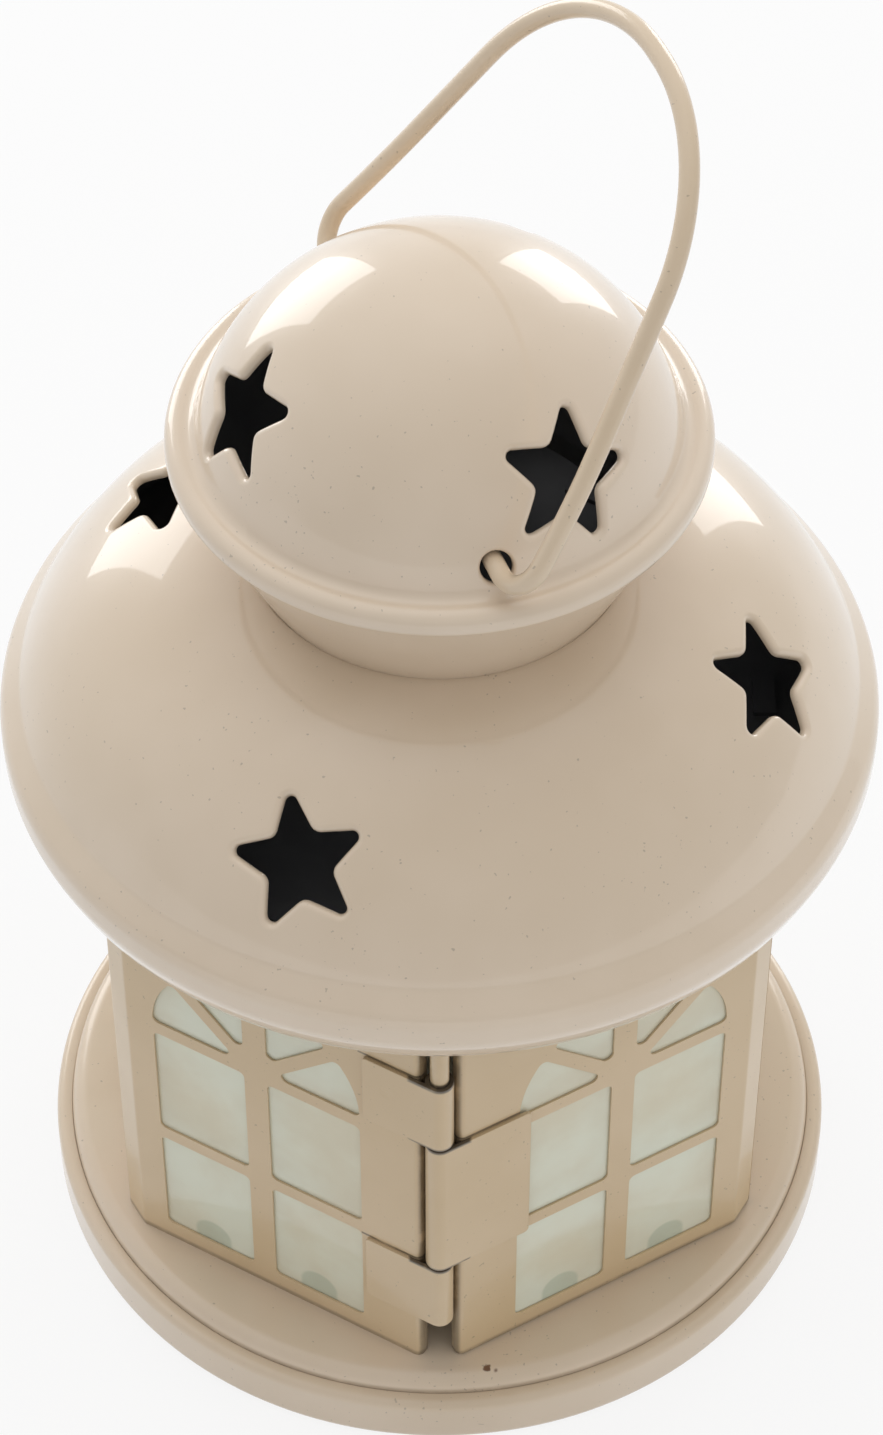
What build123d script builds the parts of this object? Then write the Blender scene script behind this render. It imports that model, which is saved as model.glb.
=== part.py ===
from build123d import *
import os
from math import cos, radians, sin, tan

# A punched tin lantern. Origin at the centre of the underside, +Z up, millimetres.
# The front is -Y. An azimuth is an angle in degrees from the front towards +X.

# Sheet metal and glass
sheet = 0.7
leaf_sheet = 0.6
clip_sheet = 0.5
glass = 1.6
fold_round = 1.1
seat_gap = 0.1

# Base: a pan with a rolled rim and a stepped plate that stands in it
base_radius = 58.4
pan_height = 8.6
pan_rim_width = 1.9
pan_rim_round = 1.4
pan_foot_round = 1.6
rest_ring_width = 7.5
rest_ring_rise = 1.2
rest_ring_slope = 1.5
rest_ring_round = 1.0
seam_gap = 0.5
ledge_height = 11.2
ledge_round = 2.6

# Wall: a hexagon with a narrow chamfer at each corner
wall_apothem = 46.0
chamfer_width = 4.7
wall_height = 84.8
edge_flange = 1.8
edge_cutback = 0.35
tab_width = 8.0
tab_reach = 3.0
slot_gap = 0.2

# Windows, four panes under a fan of four lights
window_width = 33.5
window_shift = 2.8
window_sill = 3.6
lower_light = 20.9
upper_light = 21.9
bar_width = 2.4
mullion_width = 3.7
ray_width = 2.3
ray_angle = 45
light_round = 1.0
pane_margin = 1.6
pane_gap = 0.05
pane_top_margin = 2.6

# Clips that hold the panes
clip_width = 6.0
clip_tab = 6.0
clip_foot = 1.4
clip_gap = 0.1
clip_spread = 9.0

# Door in the panel to the right of the front corner
header_height = 4.9
header_gap = 0.6
door_gap = 0.3

# Hinge at the front corner
pin_radius = 1.3
pin_clearance = 0.05
pin_rise = 9.8
pin_length = 65.5
pin_chamfer = 0.3
knuckle_rise = 10.6
wall_knuckle = 13.6
door_knuckle = 28.0
knuckle_gap = 0.25
wall_leaf_length = 11.0
door_leaf_length = 13.4
leaf_corner = 0.8

# Spring catch inside the door's free edge
catch_rise = 32.8
catch_height = 12.0
catch_pane_gap = 0.7
catch_lip = 3.4
catch_gap = 0.3

# Candle cup on the floor
cup_radius = 19.6
cup_height = 9.0
cup_rim_width = 1.4
cup_round = 1.2
rivet_radius = 1.5
rivet_head_radius = 3.0
rivet_head = 1.0
rivet_clearance = 0.05

# Roof: a dome whose rim bulges out and curls in at its lower edge
roof_radius = 60.3
eave_drop = 4.1
curl_inset = 1.3
curl_rise = 3.3
curl_round = 6.0
rim_rise = 4.6
rim_round = 4.0
crease_inset = 3.0
crease_rise = 3.4
crease_round = 3.0
shoulder_inset = 12.4
shoulder_rise = 20.7
shoulder_share = 0.97
roof_top_rise = 3.7

# Top plate under the roof, with the flue hole
flue_radius = 20.0
top_plate_rim = 2.0
top_plate_round = 1.4
top_plate_gap = 0.1

# Neck collar between roof and cap
collar_radius = 25.4
collar_spigot = 2.6
collar_gap = 0.15
collar_foot_round = 1.2
collar_brim_gap = 0.55
collar_top_edge = 1.0
collar_top_round = 1.2

# Cap: a small dome with a rolled brim
cap_radius = 35.55
cap_rise = 18.8
brim_lip = 1.5
brim_round = 1.5
brim_width = 3.95
brim_rise = 1.5
cap_crease_round = 1.2
cap_height = 23.1
cap_shoulder_inset = 7.3
cap_shoulder_share = 0.95

# Punched stars: azimuth, distance from the axis and turn from upright
star_tip_radius = 10.3
star_notch_radius = 4.6
star_tip_round = 0.9
star_notch_round = 1.5
star_depth = 5.0
roof_stars = ((-21.7, 49.5, -23.5), (69.2, 46.6, -24.5), (158, 47.5, -24), (248.8, 40.4, -7.5))
cap_stars = ((37.7, 26.6, 25.4), (163, 26.3, 35), (-71.1, 27, 46.5))

# Bail handle of bent wire, leaning towards +X; its axis passes beside the lantern's axis
wire_radius = 1.3
bail_azimuth = 21.0
bail_offset = -4.0
bail_lean = 34.0
bail_pivot_rise = 3.0
bail_hole_radius = 2.1
bail_end_inset = 6.6
bail_end_drop = 4.2
bail_end_round = 2.4
bail_foot_reach = 37.6
bail_foot_round = 5.0
bail_knee_reach = 34.3
bail_knee_height = 16.0
bail_top_reach = 19.8
bail_far_foot_reach = 36.5
bail_far_knee_reach = 31.9
bail_far_top_reach = 22.0
bail_height = 58.2
bail_knee_share = 0.5
bail_top_share = 0.96

# Panels are named by the azimuth that they face
wall_panels = {"front_left": -30, "right": 90, "rear_right": 150, "rear_left": 210, "left": 270}
door_azimuth = 30
half_turn = 30
facet_distance = wall_apothem / cos(radians(half_turn)) - chamfer_width / 2 * tan(radians(half_turn))

knuckle_radius = pin_radius + pin_clearance + leaf_sheet
pin_distance = (wall_apothem + leaf_sheet - knuckle_radius) / cos(radians(half_turn))
pin_shift = -pin_distance * sin(radians(half_turn))

plate_radius = base_radius - pan_rim_width - seam_gap
wall_top = ledge_height + wall_height
door_top = wall_top - header_height - header_gap
window_bottom = ledge_height + window_sill
lower_bar = window_bottom + lower_light
upper_bar = lower_bar + bar_width + upper_light
spring_line = upper_bar + bar_width
arch_radius = window_width / 2

eave_height = wall_top - eave_drop
curl_height = eave_height + curl_rise
rim_height = curl_height + rim_rise
crease_height = rim_height + crease_rise
shoulder_height = crease_height + shoulder_rise
roof_top = shoulder_height + roof_top_rise
cap_low = roof_top + cap_rise
brim_corner = cap_low + brim_lip
cap_crease = brim_corner + brim_rise
cap_crease_radius = cap_radius - brim_width
cap_top = cap_crease + cap_height
bail_pivot = cap_crease + bail_pivot_rise


def outward(azimuth):
    """Unit vector that points out at an azimuth."""
    return Vector(sin(radians(azimuth)), -cos(radians(azimuth)))


def along(azimuth):
    """Unit vector square to outward, in the sense of growing azimuth."""
    return Vector(cos(radians(azimuth)), sin(radians(azimuth)))


def plan_point(azimuth, distance, shift):
    """Point of the plan at a distance out along an azimuth and a shift along the panel there."""
    return outward(azimuth) * distance + along(azimuth) * shift


def panel_plane(azimuth, inset=0):
    """Plane of a panel's outer face: x runs along the panel, y is up and z points out."""
    return Plane(outward(azimuth) * (wall_apothem - inset), x_dir=along(azimuth), z_dir=outward(azimuth))


def half_flat(inset=0):
    """Half the flat width of a panel, between its two folds."""
    reach = (wall_apothem - inset) * cos(radians(half_turn))
    return (facet_distance - inset - reach) / sin(radians(half_turn))


def directions(points):
    """Unit vectors along the runs of a polyline."""
    return [(b - a).normalized() for a, b in zip(points, points[1:])]


def left_of(points, distance):
    """Polyline that runs at a distance to the left of the given one, with mitred corners."""
    normals = [Vector(-d.Y, d.X) for d in directions(points)]
    mitres = [(a + b) * (1 / (1 + a.dot(b))) for a, b in zip(normals, normals[1:])]
    shifts = [normals[0], *mitres, normals[-1]]
    return [p + s * distance for p, s in zip(points, shifts)]


def turns_left(points):
    """For each inner corner of a polyline, whether it turns left."""
    runs = directions(points)
    return [a.cross(b).Z > 0 for a, b in zip(runs, runs[1:])]


def sheet_section(points, rounds, thickness):
    """Section of a bent sheet: one face follows the points, the other lies to their left."""
    points = [Vector(*p) for p in points]
    inner_points = left_of(points, thickness)
    signs = [-1 if left else 1 for left in turns_left(points)]
    inner_rounds = [r + s * thickness for r, s in zip(rounds, signs)]
    face_line = FilletPolyline(*points, radius=rounds)
    back_line = FilletPolyline(*inner_points, radius=inner_rounds)
    ends = [Line(face_line @ 0, back_line @ 0), Line(face_line @ 1, back_line @ 1)]
    return make_face([*face_line.edges(), *back_line.edges(), *ends[0].edges(), *ends[1].edges()])


def spun(points, rounds, thickness=sheet):
    """Sheet of revolution about Z from a section of (radius, height) points."""
    return revolve(Plane.XZ * sheet_section(points, rounds, thickness), Axis.Z)


def round_share(before, corner, after, share):
    """Radius of the corner rounding whose tangent length is a share of the shorter run."""
    first = Vector(*corner) - Vector(*before)
    second = Vector(*after) - Vector(*corner)
    half_angle = radians(first.get_angle(second)) / 2
    return share * min(first.length, second.length) / tan(half_angle)


def base_pan():
    """Dish with a raised middle, a ring to rest on and a rim rolled inwards."""
    ring_inside = base_radius - rest_ring_width
    points = [
        (0, rest_ring_rise),
        (ring_inside - rest_ring_slope, rest_ring_rise),
        (ring_inside, 0),
        (base_radius, 0),
        (base_radius, pan_height),
        (base_radius - pan_rim_width, pan_height),
    ]
    rounds = [rest_ring_round, rest_ring_round, pan_foot_round, pan_rim_round]
    return spun(points, rounds)


def base_plate():
    """Stepped plate that stands in the pan, with slots for the wall's tabs and a rivet hole."""
    points = [(plate_radius, sheet), (plate_radius, ledge_height), (0, ledge_height)]
    plate = spun(points, [ledge_round])
    plate -= tab_slots(ledge_height)
    return plate - Pos(0, 0, ledge_height) * Cylinder(rivet_radius + rivet_clearance, 4 * sheet)


def tab_slots(level):
    """Slots through a plate at a level, one for each wall panel's tab."""
    slot = Box(tab_width + 2 * slot_gap, 4 * sheet, sheet + 2 * slot_gap)
    places = [panel_plane(azimuth, sheet / 2) for azimuth in wall_panels.values()]
    return [place * Pos(0, level, 0) * slot for place in places]


def wall_tabs():
    """Tabs that pass through the base plate and the top plate and are bent over inwards."""
    stem = Box(tab_width, 2 * sheet, sheet)
    foot = Box(tab_width, sheet, tab_reach)
    tabs = []
    for azimuth in wall_panels.values():
        place = panel_plane(azimuth, sheet)
        for level, step in ((ledge_height, -1), (wall_top, 1)):
            tabs.append(place * Pos(0, level + step * sheet, sheet / 2) * stem)
            tabs.append(place * Pos(0, level + step * 1.5 * sheet, sheet - tab_reach / 2) * foot)
    return tabs


def window_lights():
    """The openings of one window, in the plane of its panel."""
    light_width = (window_width - mullion_width) / 2
    light_shift = (window_width + mullion_width) / 4
    rows = ((window_bottom, lower_bar), (lower_bar + bar_width, upper_bar))
    lights = []
    for low, high in rows:
        light = RectangleRounded(light_width, high - low, light_round)
        for side in (-1, 1):
            lights.append(Pos(side * light_shift, (low + high) / 2) * light)
    fan = Circle(arch_radius) & Pos(0, arch_radius / 2) * Rectangle(window_width, arch_radius)
    fan -= Rectangle(mullion_width, 2 * window_width)
    for side in (-1, 1):
        ray = Rot(0, 0, side * (90 - ray_angle)) * Rectangle(ray_width, 3 * window_width)
        fan -= Pos(0, -bar_width / 2) * ray
    for light in fan.faces():
        lights.append(Pos(0, spring_line) * light.fillet_2d(light_round, light.vertices()))
    return lights


def window_cut(azimuth, shift):
    """Solids that punch one window out of a panel."""
    place = panel_plane(azimuth) * Pos(shift, 0)
    return [extrude(place * light, 2 * sheet, both=True) for light in window_lights()]


def window_shift_of(azimuth):
    """A window next to the hinge stands away from it, the others are in the middle."""
    return {door_azimuth: window_shift, -door_azimuth: -window_shift}.get(azimuth, 0)


def hinge_fold(azimuth, side):
    """Fold along a panel's edge beside the hinge, cut back to clear the knuckles."""
    return plan_point(azimuth, wall_apothem, side * (half_flat() - edge_cutback))


def flange_end(azimuth, side):
    """End of the flange that is turned straight in at the fold beside the hinge."""
    return hinge_fold(azimuth, side) - outward(azimuth) * edge_flange


def wall_corners(inset=0):
    """Corners of the whole hexagon with its chamfers."""
    flat = half_flat(inset)
    azimuths = range(-half_turn, 360 - half_turn, 2 * half_turn)
    return [plan_point(a, wall_apothem - inset, side * flat) for a in azimuths for side in (-1, 1)]


def wall_sheet():
    """Folded sheet with five windows, open below the header where the door hangs."""
    start = plan_point(90, wall_apothem, door_gap - half_flat())
    corners = [plan_point(a, wall_apothem, side * half_flat())
               for a in (90, 150, 210, 270, 330) for side in (-1, 1)]
    points = [start, *corners[1:-1], hinge_fold(-door_azimuth, 1), flange_end(-door_azimuth, 1)]
    section = sheet_section(points, [fold_round] * (len(points) - 2), sheet)
    header_low = door_top + header_gap
    wall = Pos(0, 0, ledge_height) * extrude(section, header_low - ledge_height)
    ring = make_face(FilletPolyline(*wall_corners(), radius=fold_round, close=True).edges())
    hole = FilletPolyline(*wall_corners(sheet), radius=fold_round - sheet, close=True)
    ring -= make_face(hole.edges())
    wall += Pos(0, 0, header_low) * extrude(ring, wall_top - header_low)
    for azimuth in wall_panels.values():
        wall -= window_cut(azimuth, window_shift_of(azimuth))
    return wall + wall_tabs()


def door_panel():
    """Door with a flange at its hinge edge and the corner's chamfer at its free edge."""
    points = [
        flange_end(door_azimuth, -1),
        hinge_fold(door_azimuth, -1),
        plan_point(door_azimuth, wall_apothem, half_flat()),
        plan_point(door_azimuth + half_turn, facet_distance, chamfer_width / 2 - door_gap),
    ]
    section = sheet_section(points, [fold_round] * 2, sheet)
    low = ledge_height + door_gap
    panel = Pos(0, 0, low) * extrude(section, door_top - low)
    return panel - window_cut(door_azimuth, window_shift)


def pane_low():
    """Height of a pane's lower edge."""
    return window_bottom - pane_margin


def pane_high():
    """Height of a pane's upper edge."""
    return spring_line + arch_radius + pane_top_margin


def pane(azimuth):
    """Flat glass behind a panel's window."""
    width = window_width + 2 * pane_margin
    height = pane_high() - pane_low()
    place = panel_plane(azimuth, sheet + pane_gap + glass / 2)
    return place * Pos(window_shift_of(azimuth), pane_low() + height / 2) * Box(width, height, glass)


def pane_clip(azimuth, shift, edge, step):
    """Bent clip over one edge of a pane: a welded foot, a step and a tab with a round end."""
    back = sheet + pane_gap + glass
    foot_place = panel_plane(azimuth, sheet + clip_sheet / 2)
    tab_place = panel_plane(azimuth, back + clip_sheet / 2)
    step_place = panel_plane(azimuth, (sheet + back + clip_sheet) / 2)
    step_middle = edge - step * (clip_gap + clip_sheet / 2)
    foot_middle = edge - step * (clip_gap + clip_foot / 2)
    tab_run = clip_tab - clip_width / 2 + clip_gap + clip_sheet
    tab_start = edge - step * (clip_gap + clip_sheet)
    clip = foot_place * Pos(shift, foot_middle) * Box(clip_width, clip_foot, clip_sheet)
    clip += step_place * Pos(shift, step_middle) * Box(clip_width, clip_sheet, back + clip_sheet - sheet)
    clip += tab_place * Pos(shift, tab_start + step * tab_run / 2) * Box(clip_width, tab_run, clip_sheet)
    return clip + tab_place * Pos(shift, tab_start + step * tab_run) * Cylinder(clip_width / 2, clip_sheet)


def pane_clips(azimuth):
    """Two clips at the foot of a pane and two at its head."""
    middle = window_shift_of(azimuth)
    clips = []
    for edge, step in ((pane_low(), 1), (pane_high(), -1)):
        for side in (-1, 1):
            clips.append(pane_clip(azimuth, middle + side * clip_spread, edge, step))
    return clips


def hinge_leaf(azimuth, side, length, low, high):
    """Leaf on a panel's outer face that passes over the pin in the corner and is rolled round it."""
    place = panel_plane(azimuth)
    pin_place = Pos(0, -pin_distance, (low + high) / 2)
    leaf_middle = side * (pin_shift + length / 2)
    blank = Box(length, high - low, leaf_sheet)
    blank = fillet(blank.edges().filter_by(Axis.Z).group_by(Axis.X)[0 if side < 0 else -1], leaf_corner)
    leaf = place * Pos(leaf_middle, (low + high) / 2, leaf_sheet / 2) * blank
    leaf += pin_place * Cylinder(knuckle_radius, high - low)
    return leaf - pin_place * Cylinder(pin_radius + pin_clearance, 2 * (high - low))


def hinge_pin():
    """Plain wire pin through the three knuckles."""
    pin = Cylinder(pin_radius, pin_length)
    pin = chamfer(pin.edges().filter_by(GeomType.CIRCLE), pin_chamfer)
    return Pos(0, -pin_distance, ledge_height + pin_rise + pin_length / 2) * pin


def door_catch():
    """Spring strip on the wall beside the door, whose lip stops the door's chamfer."""
    corner_azimuth = door_azimuth + half_turn
    panel_azimuth = corner_azimuth + half_turn
    lip_distance = facet_distance - sheet - catch_gap
    panel_distance = wall_apothem - sheet
    reach = panel_distance * cos(radians(half_turn))
    corner_shift = -(lip_distance - reach) / sin(radians(half_turn))
    corner = plan_point(panel_azimuth, panel_distance, corner_shift)
    lip_end = corner - along(corner_azimuth) * catch_lip
    foot_shift = window_width / 2 + pane_margin + catch_pane_gap
    foot_end = plan_point(panel_azimuth, panel_distance, -foot_shift)
    section = sheet_section([lip_end, corner, foot_end], [fold_round], clip_sheet)
    return Pos(0, 0, ledge_height + catch_rise) * extrude(section, catch_height)


def candle_cup():
    """Shallow cup for a tea light, with its rim turned out."""
    floor = ledge_height
    outside = cup_radius + sheet
    points = [
        (0, floor),
        (outside, floor),
        (outside, floor + cup_height),
        (outside + cup_rim_width, floor + cup_height),
    ]
    cup = spun(points, [cup_round + sheet, cup_round])
    return cup - Pos(0, 0, floor) * Cylinder(rivet_radius + rivet_clearance, 4 * sheet)


def cup_rivet():
    """Rivet through the cup's floor and the base plate, with a head at each end."""
    shank_low = ledge_height - sheet
    shank_high = ledge_height + sheet
    rivet = Pos(0, 0, ledge_height) * Cylinder(rivet_radius, 2 * sheet)
    for level, side in ((shank_low, -1), (shank_high, 1)):
        head = Cylinder(rivet_head_radius, rivet_head)
        far_edge = head.edges().filter_by(GeomType.CIRCLE).sort_by(Axis.Z)[0 if side < 0 else -1]
        head = fillet(far_edge, rivet_head * 0.6)
        rivet += Pos(0, 0, level + side * rivet_head / 2) * head
    return rivet


def top_plate():
    """Plate on the wall's top edge, with a rim turned up inside the roof and the flue hole."""
    edge = roof_radius - sheet - top_plate_gap
    points = [(flue_radius, wall_top), (edge, wall_top), (edge, wall_top + top_plate_rim)]
    return spun(points, [top_plate_round]) - tab_slots(wall_top + sheet / 2)


def star(place):
    """Star with rounded tips and notches, as a solid that punches through a sheet."""
    corners = []
    for i in range(10):
        reach = star_notch_radius if i % 2 else star_tip_radius
        corners.append(Vector(0, reach).rotate(Axis.Z, 36 * i))
    rounds = [star_notch_round if i % 2 else star_tip_round for i in range(10)]
    outline = make_face(FilletPolyline(*corners, radius=rounds, close=True).edges())
    return extrude(place * outline, star_depth, both=True)


def star_places(stars, centre, radius):
    """Planes that touch a dome's rounding at the stars' places, with y up the slope."""
    places = []
    for azimuth, distance, turn in stars:
        reach = distance - centre.X
        rise = (radius * radius - reach * reach) ** 0.5
        out = outward(azimuth)
        up = Vector(0, 0, 1)
        spot = out * distance + up * (centre.Y + rise)
        face = Plane(spot, x_dir=along(azimuth), z_dir=out * reach + up * rise)
        places.append(face * Rot(0, 0, -turn))
    return places


def round_centre(before, corner, after, radius):
    """Centre of the rounding in a corner."""
    first = (Vector(*before) - Vector(*corner)).normalized()
    second = (Vector(*after) - Vector(*corner)).normalized()
    half_angle = radians(first.get_angle(second)) / 2
    return Vector(*corner) + (first + second).normalized() * (radius / sin(half_angle))


def roof():
    """Domed roof with a curled rim, four stars and the hole for the neck."""
    hole_radius = collar_radius + collar_gap
    points = [
        (roof_radius - curl_inset, eave_height),
        (roof_radius, curl_height),
        (roof_radius, rim_height),
        (roof_radius - crease_inset, crease_height),
        (roof_radius - shoulder_inset, shoulder_height),
        (hole_radius, roof_top),
    ]
    shoulder = points[3:]
    shoulder_round = round_share(*shoulder, shoulder_share)
    shell = spun(points, [curl_round, rim_round, crease_round, shoulder_round])
    centre = round_centre(*shoulder, shoulder_round)
    for place in star_places(roof_stars, centre, shoulder_round):
        shell -= star(place)
    return shell


def brim_underside(radius):
    """Height of the underside of the cap's brim at a radius."""
    fall = brim_rise / brim_width
    top = brim_corner + fall * (cap_radius - radius)
    return top - sheet * (1 + fall * fall) ** 0.5


def neck_collar():
    """Cone that opens upwards, with a spigot in the roof and its top edge under the brim."""
    top_radius = cap_radius - sheet - collar_brim_gap
    top = brim_underside(top_radius) - seat_gap
    foot = roof_top + seat_gap
    points = [
        (collar_radius, foot - sheet - collar_spigot),
        (collar_radius, foot),
        (top_radius, top - collar_top_edge),
        (top_radius, top),
    ]
    return spun(points, [collar_foot_round, collar_top_round])


def bail_axis_plane(normal):
    """Plane at the middle of the handle's axis."""
    middle = along(bail_azimuth) * bail_offset + Vector(0, 0, bail_pivot)
    return Plane(middle, x_dir=outward(bail_azimuth), z_dir=normal)


def cap():
    """Dome with a rolled brim, three stars and the two holes for the handle."""
    points = [
        (cap_radius, cap_low),
        (cap_radius, brim_corner),
        (cap_crease_radius, cap_crease),
        (cap_crease_radius - cap_shoulder_inset, cap_top),
        (0, cap_top),
    ]
    shoulder = points[2:]
    shoulder_round = round_share(*shoulder, cap_shoulder_share)
    shell = spun(points, [brim_round, cap_crease_round, shoulder_round])
    centre = round_centre(*shoulder, shoulder_round)
    for place in star_places(cap_stars, centre, shoulder_round):
        shell -= star(place)
    hole = Rot(0, 90, 0) * Cylinder(bail_hole_radius, 2 * cap_radius)
    return shell - bail_axis_plane(Vector(0, 0, 1)) * hole


def bail_leg(foot_reach, knee_reach, top_reach):
    """Corners of one half of the handle, from its end to its shoulder, and their roundings."""
    end = cap_crease_radius - bail_end_inset
    foot = (foot_reach, 0)
    knee = (knee_reach, bail_knee_height)
    shoulder = (top_reach, bail_height)
    knee_round = round_share(foot, knee, shoulder, bail_knee_share)
    top_round = round_share(knee, shoulder, (0, bail_height), bail_top_share)
    corners = [(end, -bail_end_drop), (end, 0), foot, knee, shoulder]
    return corners, [bail_end_round, bail_foot_round, knee_round, top_round]


def bail_handle():
    """Wire handle: turned-down ends inside the cap, feet out through the holes, legs and a round top."""
    near, near_rounds = bail_leg(bail_foot_reach, bail_knee_reach, bail_top_reach)
    far, far_rounds = bail_leg(bail_far_foot_reach, bail_far_knee_reach, bail_far_top_reach)
    points = near + [(-x, y) for x, y in reversed(far)]
    rounds = near_rounds + far_rounds[::-1]
    lean = along(bail_azimuth) * sin(radians(bail_lean)) + Vector(0, 0, cos(radians(bail_lean)))
    frame = bail_axis_plane(outward(bail_azimuth).cross(lean))
    line = frame * FilletPolyline(*points, radius=rounds)
    section = Plane(line @ 0, z_dir=line % 0) * Circle(wire_radius)
    return sweep(section, path=line.wire())


low = ledge_height + knuckle_rise
lower_joint = low + wall_knuckle
upper_joint = lower_joint + door_knuckle
high = upper_joint + wall_knuckle
half_gap = knuckle_gap / 2
parts = {
    "base_pan": base_pan(),
    "base_plate": base_plate(),
    "candle_cup": candle_cup(),
    "cup_rivet": cup_rivet(),
    "wall_sheet": wall_sheet(),
    "hinge_leaf_lower": hinge_leaf(-door_azimuth, -1, wall_leaf_length, low, lower_joint - half_gap),
    "hinge_leaf_upper": hinge_leaf(-door_azimuth, -1, wall_leaf_length, upper_joint + half_gap, high),
    "hinge_pin": hinge_pin(),
    "door_catch": door_catch(),
    "top_plate": top_plate(),
    "roof": roof(),
    "neck_collar": neck_collar(),
    "cap": cap(),
    "door_panel": door_panel(),
    "door_pane": pane(door_azimuth),
    "door_clips": pane_clips(door_azimuth),
    "door_hinge_leaf": hinge_leaf(door_azimuth, 1, door_leaf_length,
                                  lower_joint + half_gap, upper_joint - half_gap),
    "bail_handle": bail_handle(),
}
wall_clips = []
for side_name, panel_azimuth in wall_panels.items():
    parts[f"pane_{side_name}"] = pane(panel_azimuth)
    wall_clips += pane_clips(panel_azimuth)
parts["pane_clips"] = wall_clips

os.makedirs("parts", exist_ok=True)
for name, piece in parts.items():
    shape = Compound(children=piece) if isinstance(piece, list) else piece
    export_step(shape, f"parts/{name}.step")
    print(name, round(shape.volume, 1))
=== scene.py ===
# %% [markdown]
# # A punched tin lantern
# This lesson dresses a small candle lantern of pressed and folded tin. The frame holds every piece
# at its real size and place. The round pressings, the handle and the glass are remade here as
# smooth surfaces worked out with numpy, and every finish is made from shader nodes.

# %% Load the frame
import math
from collections import namedtuple

import bmesh
import bpy
import numpy as np
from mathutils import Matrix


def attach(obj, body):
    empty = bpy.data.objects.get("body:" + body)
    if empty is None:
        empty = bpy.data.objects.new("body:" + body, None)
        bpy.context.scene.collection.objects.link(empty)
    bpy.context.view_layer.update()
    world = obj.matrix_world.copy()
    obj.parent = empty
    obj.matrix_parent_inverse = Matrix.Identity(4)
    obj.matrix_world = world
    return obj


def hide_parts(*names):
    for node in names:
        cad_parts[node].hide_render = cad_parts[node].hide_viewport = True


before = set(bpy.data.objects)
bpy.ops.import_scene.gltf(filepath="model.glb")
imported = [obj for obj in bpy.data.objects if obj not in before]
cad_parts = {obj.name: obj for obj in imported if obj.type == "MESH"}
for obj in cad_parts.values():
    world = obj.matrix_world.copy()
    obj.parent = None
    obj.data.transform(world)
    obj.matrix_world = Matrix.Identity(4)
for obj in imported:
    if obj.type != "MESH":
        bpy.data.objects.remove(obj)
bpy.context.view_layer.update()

MM = 0.001

# %% [markdown]
# ## Camera
# The photograph was taken from the front and about 48 degrees above the horizon, from roughly
# 60 cm. A long lens keeps the round roof from bulging. The small shift puts the lens axis where
# it was in the photograph's frame of 883 by 1435 pixels.

# %% Camera
FRAME_W, FRAME_H = 883, 1435
FOCAL_PX, CENTRE_X, CENTRE_Y = 4320.0, 439.6, 727.0
PITCH, DISTANCE, AIM = 48.05, 0.600, 0.090
SENSOR = 36.0


def into_scene(name, data):
    """A new object that holds the data, linked to the scene."""
    made = bpy.data.objects.new(name, data)
    bpy.context.scene.collection.objects.link(made)
    return made


lens = bpy.data.cameras.new("camera")
lens.sensor_width = SENSOR
lens.lens = FOCAL_PX * SENSOR / FRAME_H
lens.shift_x = (FRAME_W / 2 - CENTRE_X) / FRAME_H
lens.shift_y = (CENTRE_Y - FRAME_H / 2) / FRAME_H
lens.clip_start = 0.01
camera = into_scene("camera", lens)
pitch = math.radians(PITCH)
camera.location = (0, -DISTANCE * math.cos(pitch), AIM + DISTANCE * math.sin(pitch))
camera.rotation_euler = (math.pi / 2 - pitch, 0, 0)
bpy.context.scene.camera = camera
bpy.context.scene.view_settings.view_transform = "Standard"
print("lens", round(lens.lens, 1), "mm")

# %% [markdown]
# ## Node helpers
# A finish is a small graph of shader nodes, and every input of a node takes a plain value or a
# link. These helpers keep the graphs short to write: they add a node with its inputs, stand for
# the sums, mixes and steps that each finish needs, and start and close a graph.


# %% Node helpers
def feed(tree, socket, value):
    """Links another node's output to an input socket, or sets the socket to a plain value."""
    if isinstance(value, bpy.types.NodeSocket):
        tree.links.new(value, socket)
    else:
        socket.default_value = value


def add(tree, kind, settings=None, **inputs):
    """Adds a node, sets its own settings, and feeds its inputs by name."""
    made = tree.nodes.new("ShaderNode" + kind)
    for key, value in (settings or {}).items():
        setattr(made, key, value)
    for key, value in inputs.items():
        feed(tree, made.inputs[key.replace("_", " ")], value)
    return made


def math_node(tree, operation, first, second=0.5):
    """A Math node on two values or sockets; its result."""
    made = add(tree, "Math", {"operation": operation})
    feed(tree, made.inputs[0], first)
    feed(tree, made.inputs[1], second)
    return made.outputs[0]


def vector_node(tree, operation, first, second=(0, 0, 0)):
    """A Vector Math node on two vectors or sockets; the node, as its result may be a number."""
    made = add(tree, "VectorMath", {"operation": operation})
    feed(tree, made.inputs[0], first)
    feed(tree, made.inputs[1], second)
    return made


def mix_colour(tree, share, first, second):
    """A colour between two colours or sockets, by a share from 0 to 1; its result."""
    made = add(tree, "Mix", {"data_type": "RGBA"})
    for index, value in ((0, share), (6, first), (7, second)):
        feed(tree, made.inputs[index], value)
    return made.outputs[2]


def ramp(tree, value, low, high):
    """Smooth step from 0 at low to 1 at high; its result."""
    made = add(tree, "MapRange", {"interpolation_type": "SMOOTHSTEP"},
               Value=value, From_Min=low, From_Max=high)
    return made.outputs["Result"]


def stretch(tree, value, low, high):
    """A value from 0 to 1 stretched evenly to run from low to high; its result."""
    return add(tree, "MapRange", Value=value, To_Min=low, To_Max=high).outputs["Result"]


def noise(tree, place, scale, detail=2.0, roughness=0.5):
    """A cloudy pattern from 0 to 1 at a place, finer with a larger scale; its result."""
    made = add(tree, "TexNoise", Vector=place, Scale=scale, Detail=detail, Roughness=roughness)
    return made.outputs[0]


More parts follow.
